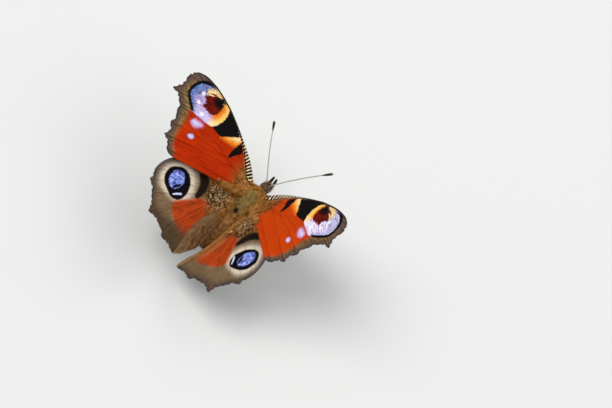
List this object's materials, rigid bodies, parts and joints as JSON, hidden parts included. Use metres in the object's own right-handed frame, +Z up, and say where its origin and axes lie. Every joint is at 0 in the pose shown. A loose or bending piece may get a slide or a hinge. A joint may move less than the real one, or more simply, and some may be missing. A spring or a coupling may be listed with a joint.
{
  "type": "peacock butterfly model",
  "caption": "Life-size peacock butterfly standing with its wings half raised, each wing with an eyespot, scalloped margins and raised veins.",
  "frame": {"origin": "on the floor, under the middle of the whole outline's box", "axes": "+Z up, +Y towards the head, +X to the butterfly's right"},
  "size_m": [0.0538, 0.0442, 0.0311],
  "materials": {
    "wing": "matt, finely scaled, brick red with eyespots above and blackish brown below",
    "body_hair": "soft olive brown and orange hair",
    "abdomen_hair": "short brown hair with faint rings",
    "head_hair": "short grey-brown hair",
    "eye": "dark brown with fine facets",
    "antenna": "satin, finely ringed, dark club with a pale tip",
    "proboscis": "satin brown, ribbed",
    "leg": "satin, grey-brown, scaled and spined"
  },
  "bodies": {
    "root": {"thorax": "body_hair", "abdomen": "abdomen_hair", "head": "head_hair", "proboscis": "proboscis", "eye_left": "eye", "eye_right": "eye", "antenna_left": "antenna", "antenna_right": "antenna", "palp_left": "head_hair", "palp_right": "head_hair", "foreleg_left": "leg", "foreleg_right": "leg", "midleg_left": "leg", "midleg_right": "leg", "hindleg_left": "leg", "hindleg_right": "leg", "forewing_left": "wing", "forewing_right": "wing", "hindwing_left": "wing", "hindwing_right": "wing"}
  },
  "joints": []
}
